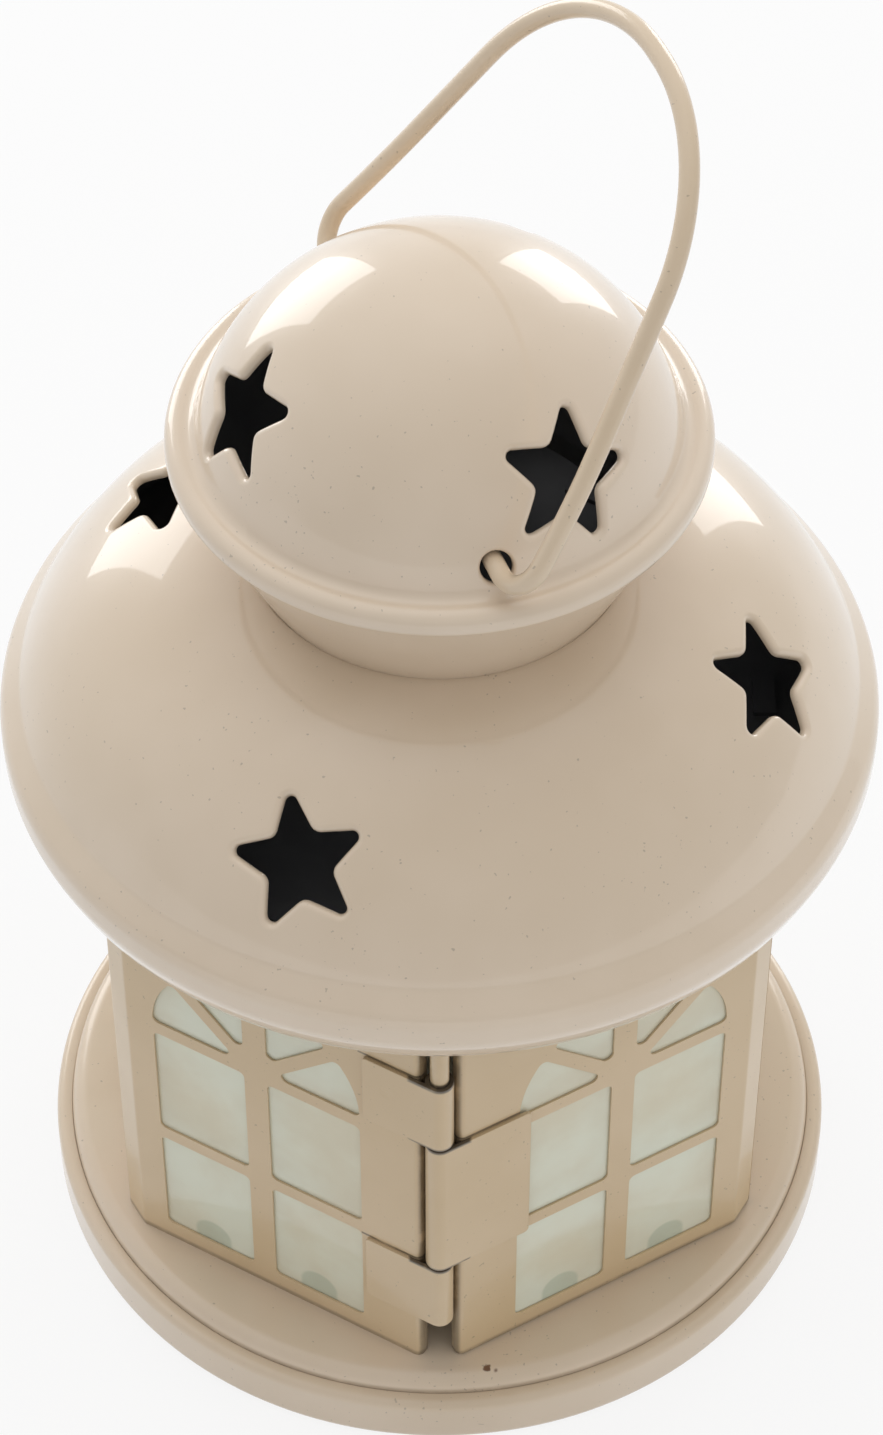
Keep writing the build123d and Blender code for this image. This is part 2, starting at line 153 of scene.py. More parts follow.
def empty_graph(owner):
    """Turns on the nodes of a material or a world and clears its graph; the tree."""
    owner.use_nodes = True
    owner.node_tree.nodes.clear()
    return owner.node_tree


def new_finish(name):
    """A material with an empty graph; the material, its tree, and the place on the piece."""
    made = bpy.data.materials.new(name)
    tree = empty_graph(made)
    return made, tree, add(tree, "TexCoord").outputs["Object"]


def shade(tree, **inputs):
    """Closes a graph with one Principled shader, whose inputs are fed by name."""
    shader = add(tree, "BsdfPrincipled", **inputs)
    tree.links.new(shader.outputs["BSDF"], add(tree, "OutputMaterial").inputs["Surface"])


# %% [markdown]
# ## White tent
# The lantern stands in a white tent. The world is plain white where the camera or the glass sees
# it. Its reflection in the paint is bright at the back on the left and dimmer at the front, as in
# a room with its windows at the back, and it lights the paint softly from all round. A gradient in
# the world does this without any walls or cards.

# %% White tent
WORLD_LIGHT = 0.52
FRONT_GLOSS = 0.40
WINDOW_SIDE = (-0.42, 0.86, 0.28)
DIM_FROM, BRIGHT_FROM = -0.35, 0.75


def seen_directly(tree):
    """1 for camera, glossy and transmission rays, else 0."""
    path = add(tree, "LightPath").outputs
    either = math_node(tree, "MAXIMUM", path["Is Camera Ray"], path["Is Glossy Ray"])
    return math_node(tree, "MAXIMUM", either, path["Is Transmission Ray"])


world = bpy.data.worlds.new("white_tent")
bpy.context.scene.world = world
tent = empty_graph(world)
path = add(tent, "LightPath").outputs
gaze = vector_node(tent, "DOT_PRODUCT", add(tent, "TexCoord").outputs["Generated"], WINDOW_SIDE)
toward = ramp(tent, gaze.outputs["Value"], DIM_FROM, BRIGHT_FROM)
mirrored = stretch(tent, toward, FRONT_GLOSS, 1.0)
gloss = math_node(tent, "MULTIPLY", path["Is Glossy Ray"], mirrored)
seen = math_node(tent, "MAXIMUM", path["Is Camera Ray"], path["Is Transmission Ray"])
bright = math_node(tent, "MAXIMUM", seen, gloss)
unseen = math_node(tent, "SUBTRACT", 1.0, seen_directly(tent))
soft = math_node(tent, "MULTIPLY", unseen, WORLD_LIGHT)
strength = math_node(tent, "ADD", bright, soft)
backdrop = add(tent, "Background", Color=(1, 1, 1, 1), Strength=strength)
tent.links.new(backdrop.outputs[0], add(tent, "OutputWorld").inputs["Surface"])
print("world", world.name)

# %% [markdown]
# ## Floor
# The floor is a wide pale sheet. It glows where it is looked at, so that it melts into the white
# tent, and a share of plain matt white keeps the lantern's shadow.

# %% Floor
FLOOR_GLOW, FLOOR_GREY = 0.85, 0.86
FLOOR_HALF, FLOOR_DROP = 8.0, 0.0002

floor_mesh = bpy.data.meshes.new("floor")
square = ((-1, -1), (1, -1), (1, 1), (-1, 1))
corners = [(x * FLOOR_HALF, y * FLOOR_HALF, -FLOOR_DROP) for x, y in square]
floor_mesh.from_pydata(corners, [], [(0, 1, 2, 3)])
floor = into_scene("floor", floor_mesh)
floor_finish = bpy.data.materials.new("pale_floor")
pale = empty_graph(floor_finish)
matt = add(pale, "BsdfDiffuse", Color=(FLOOR_GREY, FLOOR_GREY, FLOOR_GREY, 1))
glow = add(pale, "Emission", Color=(1, 1, 1, 1), Strength=1.0)
blend = add(pale, "MixShader")
pale.links.new(math_node(pale, "MULTIPLY", seen_directly(pale), FLOOR_GLOW), blend.inputs[0])
pale.links.new(matt.outputs[0], blend.inputs[1])
pale.links.new(glow.outputs[0], blend.inputs[2])
pale.links.new(blend.outputs[0], add(pale, "OutputMaterial").inputs["Surface"])
floor_mesh.materials.append(floor_finish)
print("floor", 2 * FLOOR_HALF, "m wide")

# %% [markdown]
# ## Lamps
# Two upright lamps behind the lantern stand in for windows, and their reflections show in the
# paint of the roof and the cap. A ceiling lamp and a weak fill lamp at the front right only add
# light: they are hidden from reflections.


# %% Lamps
def soft_lamp(name, place, aim, width, height, power, mirrored=True):
    """A rectangular area lamp at a place, turned towards a point, with its power in watts."""
    data = bpy.data.lights.new(name, "AREA")
    data.shape = "RECTANGLE"
    data.size = width
    data.size_y = height
    data.energy = power
    lamp = into_scene(name, data)
    gaze = np.array(aim, float) - np.array(place, float)
    tilt = math.atan2(math.hypot(gaze[0], gaze[1]), -gaze[2])
    lamp.location = place
    lamp.rotation_euler = (tilt, 0, math.atan2(gaze[1], gaze[0]) - math.pi / 2)
    lamp.visible_glossy = mirrored


soft_lamp("left_window", (-0.67, 1.08, 0.40), (0, 0, 0.12), 0.62, 0.76, 4.4)
soft_lamp("right_window", (0.56, 1.15, 0.35), (0, 0, 0.12), 0.48, 0.66, 3.0)
soft_lamp("ceiling_lamp", (-0.1, 0.3, 1.3), (0, 0, 0.1), 1.4, 1.4, 5.4, False)
soft_lamp("fill_lamp", (1.0, -0.6, 0.5), (0, 0, 0.08), 1.2, 1.0, 1.6, False)
print("lamps", [light.name for light in bpy.data.lights])

# %% [markdown]
# ## Masks
# Dirt and chips sit at certain places of the lantern. A mask is a value that is 1 there and fades
# to 0 around it, worked out from the place in the lantern's own frame. They could be painted on a
# picture, but a mask needs only a few numbers and stays sharp close up.


# %% Masks
def spot_mask(tree, place, centre, radius, edge):
    """1 inside a ragged ball round a point, given in millimetres, fading over the edge width."""
    ragged = math_node(tree, "SUBTRACT", noise(tree, place, 1400.0, 3.0), 0.5)
    wobble = math_node(tree, "MULTIPLY", ragged, 3.0 * radius * MM)
    away = vector_node(tree, "DISTANCE", place, [c * MM for c in centre])
    near = math_node(tree, "ADD", away.outputs["Value"], wobble)
    return ramp(tree, near, (radius + edge) * MM, radius * MM)


def box_mask(tree, place, centre, half, fade):
    """1 inside an upright box given by its middle and half sizes in millimetres, 0 beyond the
    fade: the largest of the three distances past the box's sides goes through a smooth step."""
    away = vector_node(tree, "SUBTRACT", place, [c * MM for c in centre])
    size = vector_node(tree, "ABSOLUTE", away.outputs[0])
    over = vector_node(tree, "SUBTRACT", size.outputs[0], [h * MM for h in half])
    sides = add(tree, "SeparateXYZ", Vector=over.outputs[0]).outputs
    level = math_node(tree, "MAXIMUM", sides[0], sides[1])
    return ramp(tree, math_node(tree, "MAXIMUM", level, sides[2]), fade * MM, 0.0)


# %% [markdown]
# ## Cream paint
# The tin is coated in glossy cream enamel. On the real lantern the colour is a little uneven, the
# gloss has a fine orange peel and dust specks sit in the paint. The shader mixes two close creams
# by noise, adds specks by a noise threshold, and gives the gloss with a clear coat. Parts that lie
# in shade take a share of a darker, warmer cream, which is painted shade, and a negative share
# paints light. The masks place chips, and boxes of painted shade at the hinge, the seams and the
# wall's foot.

# %% Cream paint
PALE_CREAM = np.array((0.805, 0.667, 0.518))
# The second cream is the pale one as it looks in shade: mixing it in is painted shade.
SHADED_CREAM = np.array((0.715, 0.548, 0.348))
# A dark brown for the dust specks and for the painted shade in the boxes.
DUST_AND_SHADE = (0.060, 0.046, 0.034, 1)
RUST = (0.190, 0.095, 0.050, 1)
SPECK_SHARE = 0.30
CHIP_EDGE = 0.35
PEEL_SHARE = 0.12
WELD_RADIUS, WELD_EDGE, WELD_DEPTH = 0.3, 1.0, 1.6
SHEEN_LOW, SHEEN_HIGH = 0.24, 0.36
COAT_ROUGHNESS = 0.045


def cream(shade_share, depth=1.0):
    """A cream between the pale one and the one in shade, by a share of painted shade, made darker
    by a factor.
    """
    return (*((PALE_CREAM + shade_share * (SHADED_CREAM - PALE_CREAM)) * depth), 1)


def cream_colour(tree, place, cloud, shade_share, chips, shade_boxes):
    """Two close creams mixed by a cloud, then specks where fine noise passes a threshold, uneven
    painted shade in its boxes, and rust in the chips."""
    tone = ramp(tree, cloud, 0.30, 0.70)
    colour = mix_colour(tree, tone, cream(shade_share), cream(min(shade_share + 0.25, 1.2), 0.95))
    patch = math_node(tree, "MULTIPLY", noise(tree, place, 60.0), 0.20)
    dust = math_node(tree, "ADD", noise(tree, place, 1500.0, 1.0), patch)
    speck = math_node(tree, "MULTIPLY", ramp(tree, dust, 0.845, 0.885), SPECK_SHARE)
    colour = mix_colour(tree, speck, colour, DUST_AND_SHADE)
    uneven = ramp(tree, noise(tree, place, 260.0, 4.0), 0.10, 0.55)
    for centre, half, fade, share in shade_boxes:
        box_shade = math_node(tree, "MULTIPLY", box_mask(tree, place, centre, half, fade), uneven)
        colour = mix_colour(tree, math_node(tree, "MULTIPLY", box_shade, share), colour, DUST_AND_SHADE)
    for centre, radius in chips:
        colour = mix_colour(tree, spot_mask(tree, place, centre, radius, CHIP_EDGE), colour, RUST)
    return colour


def cream_relief(tree, place, dimples):
    """The paint's height: a fine orange peel on a slow swell, less a dimple at each spot weld."""
    peel = math_node(tree, "MULTIPLY", noise(tree, place, 330.0, 1.0), PEEL_SHARE)
    relief = math_node(tree, "ADD", peel, noise(tree, place, 46.0, 1.0))
    for centre in dimples:
        weld = spot_mask(tree, place, centre, WELD_RADIUS, WELD_EDGE)
        relief = math_node(tree, "SUBTRACT", relief, math_node(tree, "MULTIPLY", weld, WELD_DEPTH))
    return relief


def cream_paint(name, shade_share=0.0, chips=(), shade_boxes=(), dimples=(), peel=0.05, coat=0.9):
    """Glossy cream enamel; the share mixes in the cream in shade, as painted shade. chips are
    (centre, radius) in millimetres; the boxes are (centre, half size, fade, share) in millimetres,
    in which the paint is unevenly darkened as painted shade; dimples are the middles of spot welds;
    peel is the depth of the ripple and coat the share of clear gloss."""
    made, tree, place = new_finish(name)
    cloud = noise(tree, place, 28.0, 3.0, 0.55)
    colour = cream_colour(tree, place, cloud, shade_share, chips, shade_boxes)
    sheen = stretch(tree, cloud, SHEEN_LOW, SHEEN_HIGH)
    relief = cream_relief(tree, place, dimples)
    bump = add(tree, "Bump", Strength=peel, Distance=MM, Height=relief)
    shade(tree, Base_Color=colour, Roughness=sheen, Normal=bump.outputs[0],
          Coat_Weight=coat, Coat_Roughness=COAT_ROUGHNESS)
    return made


paint = cream_paint("cream_enamel")
print("paint", paint.name)

# %% [markdown]
# ## Window glass
# The panes are thin window glass with a faint green cast and a film of dust. The small tabs
# that hold them show through the dust as greener patches with round ends. Each pane carries an
# attribute, pane_place, so that the patches follow the pane wherever it stands.

# %% Window glass
CLIP_SPREAD, CLIP_HALF, CLIP_BLUR = 9.0, 3.0, 0.35
CLIP_SHADE, CLIP_GREEN = 0.55, (0.55, 0.64, 0.50, 1)
THIN_FILM, THICK_FILM = (0.99, 0.92, 0.71, 1), (0.94, 0.96, 0.80, 1)
VEIL_LOW, VEIL_HIGH = 0.70, 0.82


def window_glass():
    """Thin glass under a pale film of dust, thicker in patches, which lets a part of the light
    through and keeps its gloss. It is greener over the clips' tabs, which are strips with round
    ends: pane_place holds the distances from the pane's middle line and from its nearer end."""
    made, tree, place = new_finish("window_glass")
    film = ramp(tree, noise(tree, place, 55.0, 4.0), 0.30, 0.72)
    colour = mix_colour(tree, film, THIN_FILM, THICK_FILM)
    pane_place = add(tree, "Attribute", {"attribute_name": "pane_place"}).outputs["Vector"]
    spot = add(tree, "SeparateXYZ", Vector=pane_place).outputs
    aside = math_node(tree, "SUBTRACT", math_node(tree, "ABSOLUTE", spot[0]), CLIP_SPREAD)
    beyond = math_node(tree, "MAXIMUM", math_node(tree, "SUBTRACT", spot[1], CLIP_HALF), 0.0)
    away = add(tree, "CombineXYZ", X=aside, Y=beyond)
    reach = vector_node(tree, "LENGTH", away.outputs[0]).outputs["Value"]
    behind = ramp(tree, reach, CLIP_HALF + CLIP_BLUR, CLIP_HALF - CLIP_BLUR)
    shaded = math_node(tree, "MULTIPLY", behind, CLIP_SHADE)
    colour = mix_colour(tree, shaded, colour, CLIP_GREEN)
    veil = stretch(tree, film, VEIL_LOW, VEIL_HIGH)
    shade(tree, Base_Color=colour, Alpha=veil, Roughness=0.08, IOR=1.5)
    return made


glass = window_glass()
print("glass", glass.name)

# %% [markdown]
# ## Bare tin and the dark inside
# The cup and the catch are bare tin, brushed by handling, so noise drawn out across the height
# gives them fine marks. The plate under the roof and the inner sides of the pressings are never
# seen in the light; a near-black finish with a cloudy texture paints their shade.

# %% Bare tin and the dark inside
BRUSH_DRAW = (1, 1, 14)


def bare_tin():
    """Tinned steel with fine brush marks across its height and a slightly uneven grey."""
    made, tree, place = new_finish("bare_tin")
    drawn = add(tree, "Mapping", Vector=place, Scale=BRUSH_DRAW)
    brush = noise(tree, drawn.outputs[0], 300.0, 3.0)
    colour = mix_colour(tree, brush, (0.56, 0.55, 0.52, 1), (0.70, 0.69, 0.66, 1))
    shade(tree, Base_Color=colour, Roughness=stretch(tree, brush, 0.28, 0.45), Metallic=1.0)
    return made


def inside_shade_finish():
    """Matt near-black finish with a cloudy texture: painted shade for the inside under the roof."""
    made, tree, place = new_finish("inside_shade_finish")
    layer = noise(tree, place, 70.0, 5.0)
    colour = mix_colour(tree, layer, (0.080, 0.081, 0.086, 1), (0.200, 0.199, 0.202, 1))
    shade(tree, Base_Color=colour, Roughness=0.85)
    return made


tin = bare_tin()
# The dark inside finish is painted shade for the inside under the roof.
inside_shade = inside_shade_finish()
print("finishes", [m.name for m in bpy.data.materials])

# %% [markdown]
# ## Rounded lines
# A bent sheet or wire is drawn first as a line with sharp corners, and each corner is then rounded
# by an arc, as a bending tool does. The line is an array with a row for each point, in
# millimetres.


# %% Rounded lines
def unit(vectors):
    """A vector, or each row of an array of vectors, divided by its length."""
    return vectors / np.linalg.norm(vectors, axis=-1, keepdims=True)


def distances_along(line):
    """The distance of each point of a line from its first point, added up along the line."""
    return np.r_[0, np.cumsum(np.linalg.norm(np.diff(line, axis=0), axis=1))]


def without_doubles(line, gap):
    """A line without the points that lie no further than a gap from the point before."""
    return line[np.r_[True, np.linalg.norm(np.diff(line, axis=0), axis=1) > gap]]


def points_along(line, along, spots):
    """Points at given distances along a line, on the straight runs between its own points."""
    return np.stack([np.interp(spots, along, side) for side in line.T], -1)


def corner_arc(before, here, after, radius):
    """The arc that rounds a corner: its start, its centre, and its turn, which is positive against
    the clock. It starts at radius / tan(half the corner's angle) from the corner, and its centre
    lies at radius / sin(half the angle) on the corner's middle line."""
    before, here, after = np.array([before, here, after], float)
    back, ahead = unit(before - here), unit(after - here)
    half_angle = math.acos(np.clip(back @ ahead, -1, 1)) / 2
    start = here + back * radius / math.tan(half_angle)
    centre = here + unit(back + ahead) * radius / math.sin(half_angle)
    turn = math.pi - 2 * half_angle
    clockwise = back[0] * ahead[1] - back[1] * ahead[0] > 0
    return start, centre, -turn if clockwise else turn


def rounded_line(points, rounds, arc_step=4.0, arc_reach=0.9, least=6):
    """Points along a polyline with each inner corner replaced by an arc of the given radius. The
    points of an arc are at most arc_step degrees and arc_reach millimetres apart."""
    corner = np.array(points, float)
    runs = [corner[:1]]
    for before, here, after, radius in zip(corner, corner[1:], corner[2:], rounds):
        start, centre, turn = corner_arc(before, here, after, radius)
        by_angle = math.ceil(math.degrees(abs(turn)) / arc_step)
        by_reach = math.ceil(abs(turn) * radius / arc_reach)
        angle = np.linspace(0, turn, max(least, by_angle, by_reach) + 1)[:, None]
        arm = start - centre
        side = np.array([-arm[1], arm[0]])
        runs.append(centre + arm * np.cos(angle) + side * np.sin(angle))
    runs.append(corner[-1:])
    return np.concatenate(runs)


def widest_round(before, here, after, share):
    """Radius of the arc whose tangent length is a share of the shorter run beside a corner."""
    first, second = np.diff(np.array([before, here, after], float), axis=0)
    lengths = np.linalg.norm(first), np.linalg.norm(second)
    half_turn = math.acos(first @ second / (lengths[0] * lengths[1])) / 2
    return share * min(lengths) / math.tan(half_turn)


# %% [markdown]
# ## Sections of bent sheet
# Every round piece of the lantern is a strip of sheet bent to a section and spun about the axis.
# A section is a rounded line of (radius, height), and a point on the spun sheet is given by two
# numbers: the azimuth round the axis and the distance along the section. A Screw modifier could
# spin it too, but the holes later have to know where each point lies.

# %% Sections of bent sheet
class Section:
    """A bent sheet's section: (radius, height) as functions of the distance along it."""

    def __init__(self, points, rounds):
        self.line = without_doubles(rounded_line(points, rounds), 1e-9)
        self.along = distances_along(self.line)

    def at(self, distance):
        """Radius and height at distances along the section."""
        return [np.interp(distance, self.along, side) for side in self.line.T]

    def spin(self, azimuth, distance):
        """Points in space: azimuth is the angle from the front (-Y) towards +X."""
        radius, height = self.at(distance)
        height = height + 0 * azimuth
        return np.stack([radius * np.sin(azimuth), -radius * np.cos(azimuth), height], -1)

    def normal(self, azimuth, distance, step=0.02):
        """Unit vectors that point out of the sheet: the section's tangent turned to its right."""
        r0, z0 = self.at(distance - step)
        r1, z1 = self.at(distance + step)
        size = np.hypot(r1 - r0, z1 - z0)
        out, up = (z1 - z0) / size, (r0 - r1) / size
        return np.stack([out * np.sin(azimuth), -out * np.cos(azimuth), up], -1)


# %% [markdown]
# ## Pieces from arrays
# One helper turns arrays of points and faces into an object. It welds the points that fall
# together at a pole, shades the faces smooth, and gives the sheet its thickness on the inner side.
# Another spins a section, with a row of points for each distance and a column for each azimuth.

# %% Pieces from arrays
SHEET = 0.62
SHARP_BEND = 50
FULL_TURN = 2 * math.pi


def bevel(made, width, limit):
    """Rounds the edges that bend by more than a limit in degrees, by a width in millimetres."""
    edge = made.modifiers.new("edge", "BEVEL")
    edge.width = width * MM
    edge.segments = 2
    edge.limit_method = "ANGLE"
    edge.angle_limit = math.radians(limit)


def settle(made, body, node):
    """Lets an object ride on a body, and lets it stand for a CAD node."""
    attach(made, body)
    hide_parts(node)
    print(made.name, len(made.data.vertices), "points", len(made.data.polygons), "faces")


def piece(name, points, faces, body, finish, node, thickness=None, edge=None, inside=None):
    """Makes a mesh object from points in millimetres and faces, lets it ride on a body and stand
    for a CAD node. thickness adds a wall on the inner side, which may have a finish of its own, and
    edge rounds the sharp edges."""
    mesh = bpy.data.meshes.new(name)
    mesh.from_pydata((points * MM).tolist(), [], faces.tolist())
    work = bmesh.new()
    work.from_mesh(mesh)
    bmesh.ops.remove_doubles(work, verts=work.verts, dist=1e-7)
    bmesh.ops.dissolve_degenerate(work, edges=work.edges, dist=1e-8)
    loose = [v for v in work.verts if not v.link_faces]
    bmesh.ops.delete(work, geom=loose, context="VERTS")
    work.to_mesh(mesh)
    work.free()
    mesh.polygons.foreach_set("use_smooth", np.ones(len(mesh.polygons), bool))
    mesh.materials.append(finish)
    made = into_scene(name, mesh)
    if thickness:
        wall = made.modifiers.new("wall", "SOLIDIFY")
        wall.thickness = thickness * MM
        wall.offset = -1
        if inside:
            mesh.materials.append(inside)
            wall.material_offset = 1
    if edge:
        bevel(made, edge, SHARP_BEND)
    settle(made, body, node)
    return made


def grid_faces(rows, columns, closed):
    """Quads of a grid of rows by columns, joined round its columns where closed."""
    low = np.arange(rows - 1)[:, None] * columns
    high = low + columns
    here = np.arange(columns if closed else columns - 1)[None, :]
    beside = (here + 1) % columns
    return np.stack([low + here, low + beside, high + beside, high + here], -1).reshape(-1, 4)


def filled_lines(breaks, step):
    """Values from the first break to the last that hit every break. Between two breaks they are at
    most a step apart; the step may be given for each gap."""
    steps = np.broadcast_to(step, len(breaks) - 1)
    counts = np.ceil(np.diff(breaks) / steps - 1e-6).astype(int)
    runs = [np.linspace(a, b, max(1, n) + 1)[:-1] for a, b, n in zip(breaks, breaks[1:], counts)]
    return np.concatenate([*runs, breaks[-1:]])


def spun_sheet(name, section, finish, node, inside=None, around=180, step=2.0, edge=0.12):
    """A plain pressing: the section spun about the axis, with the wall added inside."""
    azimuth = np.linspace(0, FULL_TURN, around, endpoint=False)
    distance = filled_lines(section.along, step)
    points = section.spin(azimuth[None, :], distance[:, None]).reshape(-1, 3)
    faces = grid_faces(len(distance), around, True)
    piece(name, points, faces, "lantern", finish, node, SHEET, edge, inside)


# %% [markdown]
# ## Base
# The base is two pressings: a pan with a raised middle and a rim rolled inwards, and a stepped
# plate that stands in it. A thin dark seam shows between them. They were pressed over round tools,
# so each is one section spun about the axis. A box of painted shade darkens the plate at the seam,
# and both take a small share of the cream in shade, as painted shade.

# %% Base
chips = (((6.9, -53.4, 11.2), 0.32), ((8.1, -53.8, 11.2), 0.12))
# Painted shade in and just above the seam between the pan and the plate.
seam_shade = ((0, 0, 6.0), (70, 70, 2.8), 0.8, 0.30)
# The second number of each paint is its share of the cream in shade, which is painted shade.
ledge_paint = cream_paint("cream_enamel_ledge", 0.05, chips, [seam_shade], coat=0.5)
pan_paint = cream_paint("cream_enamel_pan", 0.15, coat=0.6)
pan_points = [(0, 1.2), (49.4, 1.2), (50.9, 0), (58.4, 0), (58.4, 8.6), (56.03, 8.6)]
pan_section = Section(pan_points, [1.0, 1.0, 1.6, 1.4])
spun_sheet("pressed_pan", pan_section, pan_paint, "base_pan")
plate_section = Section([(56.0, 0.7), (56.0, 11.2), (0, 11.2)], [2.6])
spun_sheet("stepped_plate", plate_section, ledge_paint, "base_plate")

# %% [markdown]
# ## Outlines of the punches
# Stars are punched through the roof and the cap, and two round holes are bored in the cap. Each
# outline is a flat closed loop of evenly spaced points with the way out of it at each point, as
# the lip needs both.


# %% Outlines of the punches
def even_loop(points, rounds, count):
    """A closed polygon with rounded corners as points at even spacing along it, and the unit
    vectors that point out of it there. It is walked against the clock."""
    corner = np.array(points, float)
    middle = (corner[-1] + corner[0]) / 2
    line = rounded_line([middle, *corner, middle], rounds)
    along = distances_along(line)
    even = points_along(line, along, np.linspace(0, along[-1], count, endpoint=False))
    tangent = unit(np.roll(even, -1, 0) - np.roll(even, 1, 0))
    return even, np.stack([tangent[:, 1], -tangent[:, 0]], -1)


def star_loop(count, turn, tip=10.3, notch=4.6, tip_round=0.9, notch_round=1.5):
    """A five-pointed star with rounded tips and notches, turned by an angle in degrees."""
    angle = np.radians(90 - turn + 36 * np.arange(10))
    is_notch = np.arange(10) % 2
    reach = np.where(is_notch, notch, tip)
    corners = np.stack([reach * np.cos(angle), reach * np.sin(angle)], -1)
    return even_loop(corners, np.where(is_notch, notch_round, tip_round), count)


def round_loop(count, radius):
    """A circle walked against the clock, with the vectors that point out of it."""
    angle = np.linspace(0, FULL_TURN, count, endpoint=False)
    out = np.stack([np.cos(angle), np.sin(angle)], -1)
    return radius * out, out


# %% [markdown]
# ## Domes and punch directions
# The roof and the cap carry their holes on a dome, the large arc of the section. A punch goes
# straight in, so an outline is laid on the dome along the punch's direction.

# %% Domes and punch directions
UP = np.array([0, 0, 1.0])


class Dome:
    """The arc of a section that carries punched holes: a circle of one radius about a centre."""

    def __init__(self, section, centre, radius, start):
        self.centre, self.radius, self.start = centre, radius, start
        r, z = section.at(start)
        self.start_angle = math.atan2(z - centre[1], r - centre[0])

    def drop(self, flat, origin, across, upward, punch, tries=12):
        """Lays flat points on the dome along the punch direction. Each try moves a point by its gap
        to the arc, divided by how fast that gap closes on the way. Returns the azimuths and the
        distances along the section."""
        base = origin + flat[:, :1] * across + flat[:, 1:] * upward
        reach = np.zeros(len(base))
        for _ in range(tries):
            spot = base + reach[:, None] * punch
            radius = np.hypot(spot[:, 0], spot[:, 1])
            out = radius - self.centre[0]
            rise = spot[:, 2] - self.centre[1]
            gap = np.hypot(out, rise)
            slope = (out * (spot[:, :2] @ punch[:2]) / radius + rise * punch[2]) / gap
            reach -= (gap - self.radius) / slope
        spot = base + reach[:, None] * punch
        out = np.hypot(spot[:, 0], spot[:, 1]) - self.centre[0]
        angle = np.arctan2(spot[:, 2] - self.centre[1], out)
        distance = self.start + self.radius * (angle - self.start_angle)
        return np.arctan2(spot[:, 0], -spot[:, 1]), distance


def dome_of(section, before, corner, after, radius):
    """The Dome of the rounding in a section's corner."""
    first, centre, _ = corner_arc(before, corner, after, radius)
    start = section.along[np.argmin(np.linalg.norm(section.line - first, axis=1))]
    return Dome(section, centre, radius, start)


def facing(azimuth):
    """Unit vectors for an azimuth in degrees, counted from the front (-Y) towards +X: out from
    the axis, and along the ring."""
    turn = math.radians(azimuth)
    out = np.array([math.sin(turn), -math.cos(turn), 0])
    return out, np.array([math.cos(turn), math.sin(turn), 0])


def punch_frame(dome, azimuth, distance):
    """Punch frame on the dome at an azimuth in degrees and a distance from the axis: the point,
    the way along the ring, the way up the slope and the way out."""
    out, across = facing(azimuth)
    reach = distance - dome.centre[0]
    rise = math.sqrt(dome.radius ** 2 - reach ** 2)
    punch = (out * reach + UP * rise) / dome.radius
    origin = out * distance + UP * (dome.centre[1] + rise)
    return origin, across, np.cross(punch, across), punch


# %% [markdown]
# ## Punched sheets
# The punch drags the sheet's edge inwards, so each star has a round lip. The dome's grid leaves a
# window round each hole, and rings of points lead from the window's rim to the lip, then round the
# lip into the sheet. A Boolean could cut the stars, but it leaves slivers that spoil the gloss.

# %% Punched sheets
STAR_LIP, STAR_MARGIN = 0.85, 1.6
LIP_DEPTH = 0.35
LIP_BEND = (0, 22, 45, 68, 90)
RING_COUNT, RING_CROWD = 9, 1.4
LOOP_COUNT, WINDOW_COUNT = 2000, 240
EVEN_SHARE = 0.2

Hole = namedtuple("Hole", "frame lip margin loop")
Place = namedtuple("Place", "azimuth distance left right low high")


def wrapped(angle):
    """The same angle, counted from minus half a turn to half a turn."""
    return (angle + math.pi) % FULL_TURN - math.pi


def star_hole(dome, azimuth, distance, turn):
    """A star's hole for punched_sheet."""
    frame_there = punch_frame(dome, azimuth, distance)
    return Hole(frame_there, STAR_LIP, STAR_MARGIN, lambda count: star_loop(count, turn))


def hole_place(dome, hole):
    """A hole's middle on the dome, as azimuth and distance, and the window it needs in the grid:
    the span of its lip and a margin on every side."""
    azimuth, distance = (v[0] for v in dome.drop(np.zeros((1, 2)), *hole.frame))
    outline, outward = hole.loop(WINDOW_COUNT)
    side, level = dome.drop(outline + outward * (hole.lip + hole.margin), *hole.frame)
    side = wrapped(side - azimuth)
    left, right = azimuth + side.min(), azimuth + side.max()
    return Place(azimuth, distance, left, right, level.min(), level.max())


def grid_lines(section, places, fine, coarse):
    """Azimuths and distances of a grid that has lines along the sides of each hole's window. They
    are at most a fine step apart beside the holes and a coarse step elsewhere."""
    first = places[0].left
    sides = {(side - first) % FULL_TURN for place in places for side in (place.left, place.right)}
    sides = np.array([*sorted(sides), FULL_TURN])
    middle = (sides[:-1] + sides[1:]) / 2 + first
    near = [(middle - place.left) % FULL_TURN < place.right - place.left for place in places]
    steps = np.where(np.any(near, axis=0), fine, coarse) / section.at(places[0].distance)[0]
    azimuths = filled_lines(sides, steps)[:-1] + first
    levels = [level for place in places for level in (place.low, place.high)]
    levels = np.unique(np.round(np.r_[section.along, levels], 6))
    middle = (levels[:-1] + levels[1:]) / 2
    near = [(middle > place.low) & (middle < place.high) for place in places]
    return azimuths, filled_lines(levels, np.where(np.any(near, axis=0), fine, coarse))


def hole_cells(places, azimuths, distances):
    """For each cell of the grid the number of the hole whose window it lies in, or 0. A later hole
    takes its cells from an earlier one where the two windows meet."""
    row = (distances[:-1] + distances[1:]) / 2
    column = azimuths + np.diff(np.r_[azimuths, azimuths[0] + FULL_TURN]) / 2
    cells = np.zeros((len(row), len(column)), int)
    for number, place in enumerate(places, 1):
        inside = (column - place.left) % FULL_TURN < place.right - place.left
        cells[np.ix_((row > place.low) & (row < place.high), inside)] = number
    return cells


